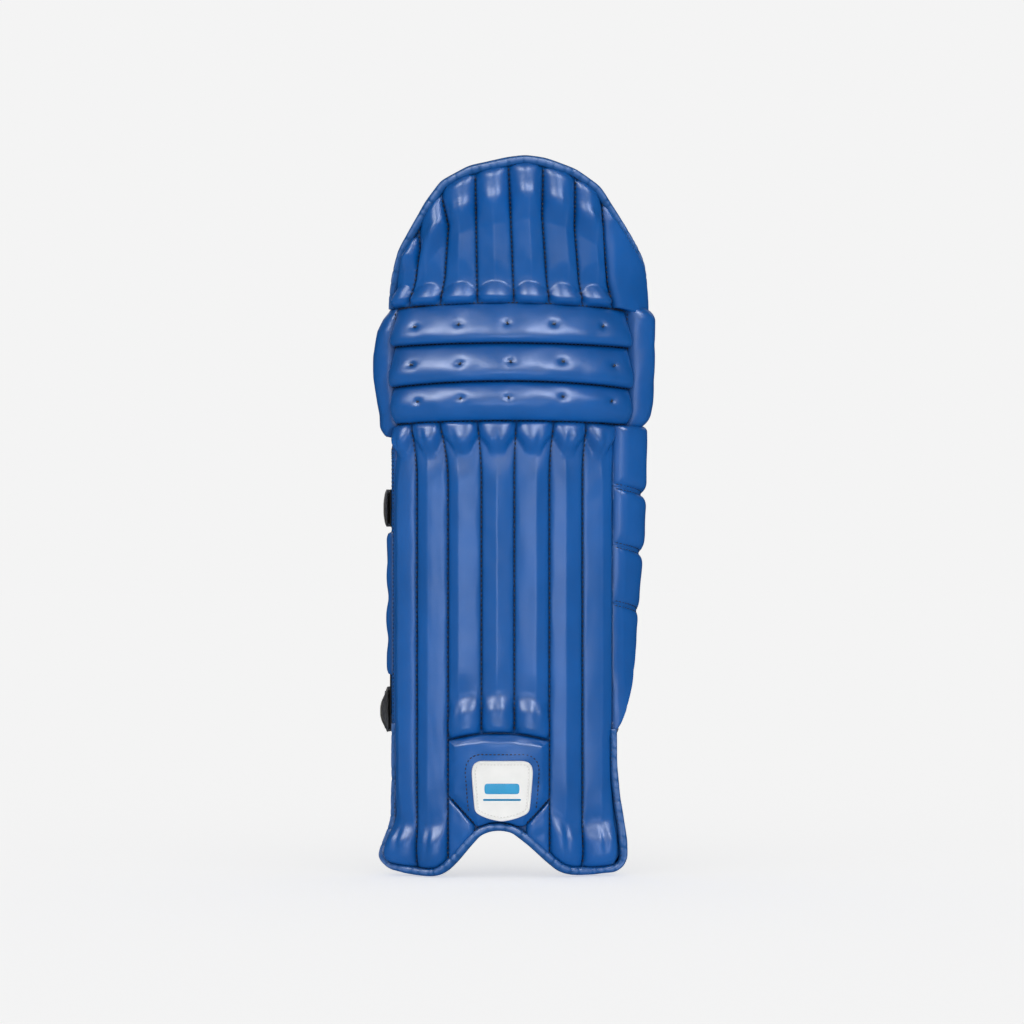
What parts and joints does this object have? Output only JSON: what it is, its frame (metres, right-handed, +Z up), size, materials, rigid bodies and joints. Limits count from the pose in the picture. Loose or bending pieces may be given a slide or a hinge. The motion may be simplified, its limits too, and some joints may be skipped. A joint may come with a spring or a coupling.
{
  "type": "cricket batting leg pad",
  "caption": "Cricket batting leg pad: ribbed shin and top flap, rolled knee section, folding side wing and straps round the leg.",
  "frame": {"origin": "centre of the bounding box's bottom face, on the floor the foot lobes stand on", "axes": "+Z up along the leg, -Y towards the bowler (the ribbed face), +X towards the folding side wing"},
  "size_m": [0.2765, 0.1588, 0.7223],
  "materials": {
    "facing": "satin coated leather, fine grain",
    "binding": "folded coated leather tape",
    "cushion": "soft matte coated fabric",
    "lining": "brushed woven cloth",
    "webbing": "woven tape",
    "hook_and_loop": "hook and loop tape",
    "badge": "moulded soft plastic",
    "cane": "raw",
    "thread": "sewing thread"
  },
  "bodies": {
    "shin": {"shin_board": "facing", "shin_lining": "lining", "shin_rib_1": "facing", "shin_rib_2": "facing", "shin_rib_3": "facing", "shin_rib_4": "facing", "shin_rib_5": "facing", "shin_rib_6": "facing", "shin_rib_7": "facing", "shin_canes": "cane", "instep_panel": "facing", "instep_gussets": "facing", "badge_patch": "badge", "shin_binding": "binding", "inner_flank": "facing", "inner_flank_pad": "facing", "shin_bolster_left": "cushion", "shin_bolster_right": "cushion", "instep_cushion": "cushion", "shin_loop_patches": "hook_and_loop", "ankle_strap_anchor": "webbing"},
    "outer_wing": {"outer_wing_board": "facing", "outer_wing_pad_1": "facing", "outer_wing_pad_2": "facing", "outer_wing_pad_3": "facing", "outer_wing_pad_4": "facing", "calf_strap_anchor": "webbing"},
    "knee": {"knee_board": "facing", "knee_lining": "lining", "knee_roll_1": "facing", "knee_roll_2": "facing", "knee_roll_3": "facing", "knee_side_roll_left": "facing", "knee_side_roll_right": "facing", "knee_tufts": "thread", "knee_bolster_upper": "cushion", "knee_bolster_lower": "cushion", "knee_loop_patch": "hook_and_loop", "knee_strap_anchor": "webbing"},
    "top_flap": {"top_board": "facing", "top_lining": "lining", "top_rib_1": "facing", "top_rib_2": "facing", "top_rib_3": "facing", "top_rib_4": "facing", "top_rib_5": "facing", "top_rib_6": "facing", "top_rib_7": "facing", "top_canes": "cane", "top_wing_pad": "facing", "top_binding": "binding"},
    "knee_strap": {"knee_strap": "webbing", "knee_strap_pad": "webbing", "knee_strap_hook": "hook_and_loop"},
    "calf_strap": {"calf_strap": "webbing", "calf_strap_pad": "webbing", "calf_strap_hook": "hook_and_loop"},
    "ankle_strap": {"ankle_strap": "webbing", "ankle_strap_pad": "webbing", "ankle_strap_hook": "hook_and_loop"}
  },
  "joints": [
    {"name": "knee_fold", "type": "hinge", "parent": "shin", "child": "knee", "pos_m": [-0.0135, -0.0336, 0.455], "axis": [-1, 0, 0], "range_deg": [-8, 20], "stiffness_Nm_per_rad": 6},
    {"name": "flap_fold", "type": "hinge", "parent": "knee", "child": "top_flap", "pos_m": [-0.0135, -0.0336, 0.57], "axis": [-1, 0, 0], "range_deg": [-10, 20], "stiffness_Nm_per_rad": 3},
    {"name": "wing_fold", "type": "hinge", "parent": "shin", "child": "outer_wing", "pos_m": [0.09905, -0.02489, 0.3], "axis": [0, 0, -1], "range_deg": [0, 25], "stiffness_Nm_per_rad": 1},
    {"name": "knee_strap_swing", "type": "hinge", "parent": "knee", "child": "knee_strap", "pos_m": [0.126, 0.0264, 0.506], "axis": [0, 0, -1], "range_deg": [0, 110]},
    {"name": "calf_strap_swing", "type": "hinge", "parent": "outer_wing", "child": "calf_strap", "pos_m": [0.126, 0.0264, 0.369], "axis": [0, 0, -1], "range_deg": [0, 110]},
    {"name": "ankle_strap_swing", "type": "hinge", "parent": "shin", "child": "ankle_strap", "pos_m": [0.1035, -0.0026, 0.164], "axis": [0, 0, -1], "range_deg": [0, 110]}
  ]
}
